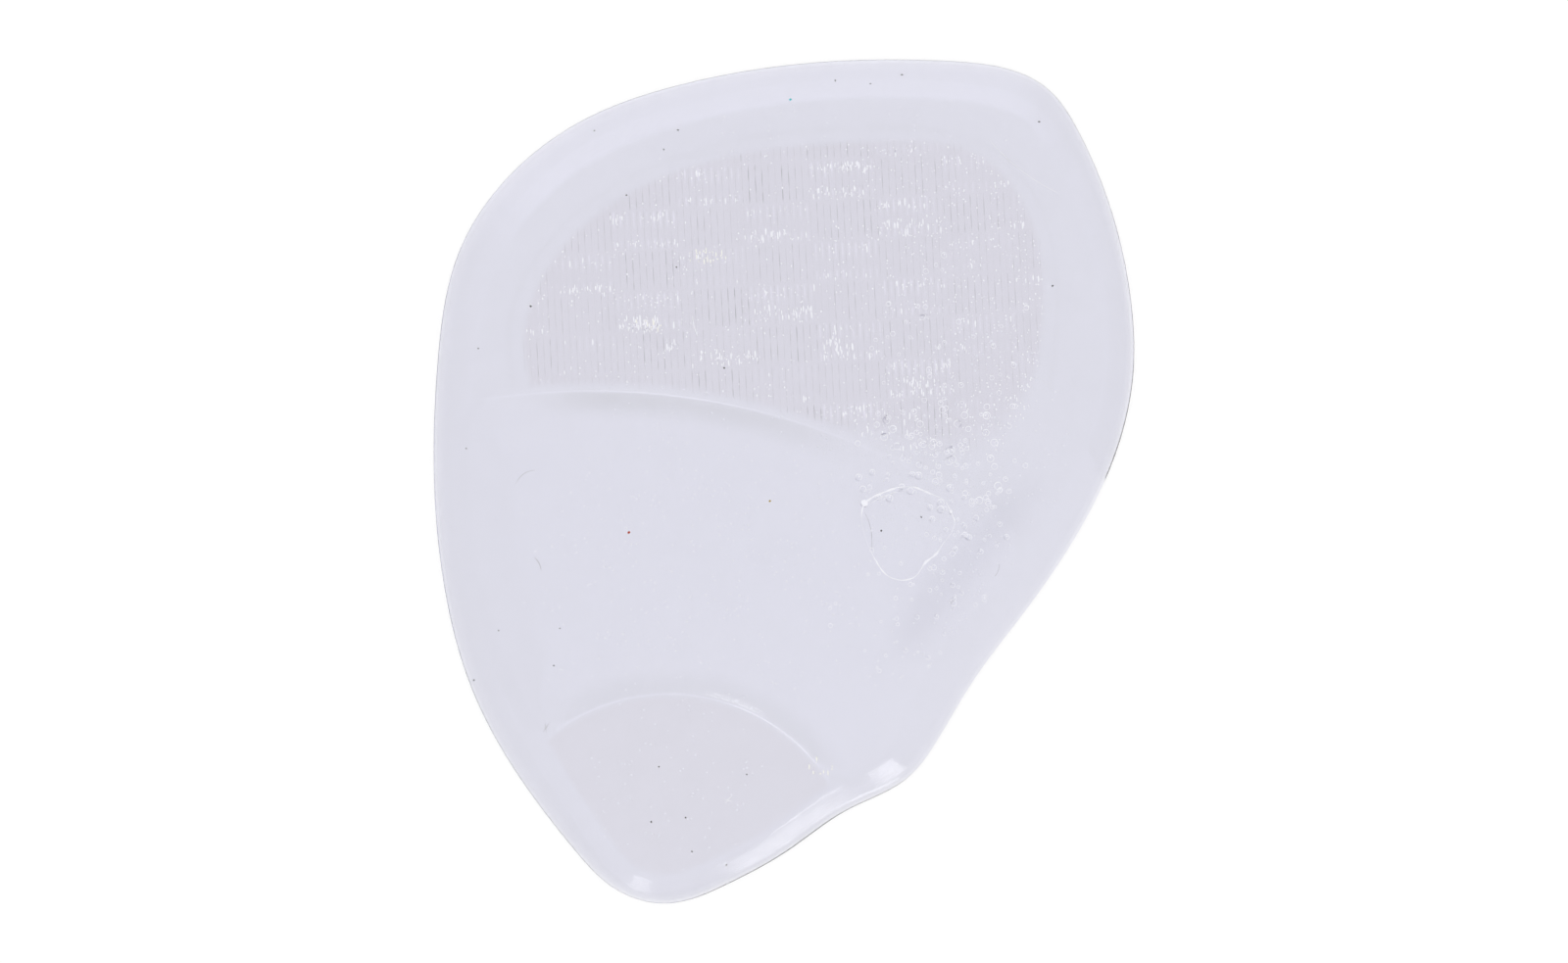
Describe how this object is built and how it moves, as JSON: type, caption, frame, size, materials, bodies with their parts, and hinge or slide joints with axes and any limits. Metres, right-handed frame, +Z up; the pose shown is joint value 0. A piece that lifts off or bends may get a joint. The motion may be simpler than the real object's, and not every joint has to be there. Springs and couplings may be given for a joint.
{
  "type": "gel forefoot insole pad",
  "caption": "Clear one-piece gel pad that lies flat under the ball of the foot, with a chamfered rim, a raised metatarsal cushion, a textured toe patch and a thin heel-side crescent.",
  "frame": {"origin": "under the middle of the pad's box, on the plane of its flat underside", "axes": "+Y towards the toes along the pad's length, +X across it towards the big toe, +Z up through its thickness"},
  "size_m": [0.078, 0.094, 0.0037],
  "materials": {
    "clear_gel": "clear soft gel, smooth and glossy, with fine moulded ribs in the toe patch"
  },
  "bodies": {
    "root": {"gel_pad": "clear_gel"}
  },
  "joints": []
}
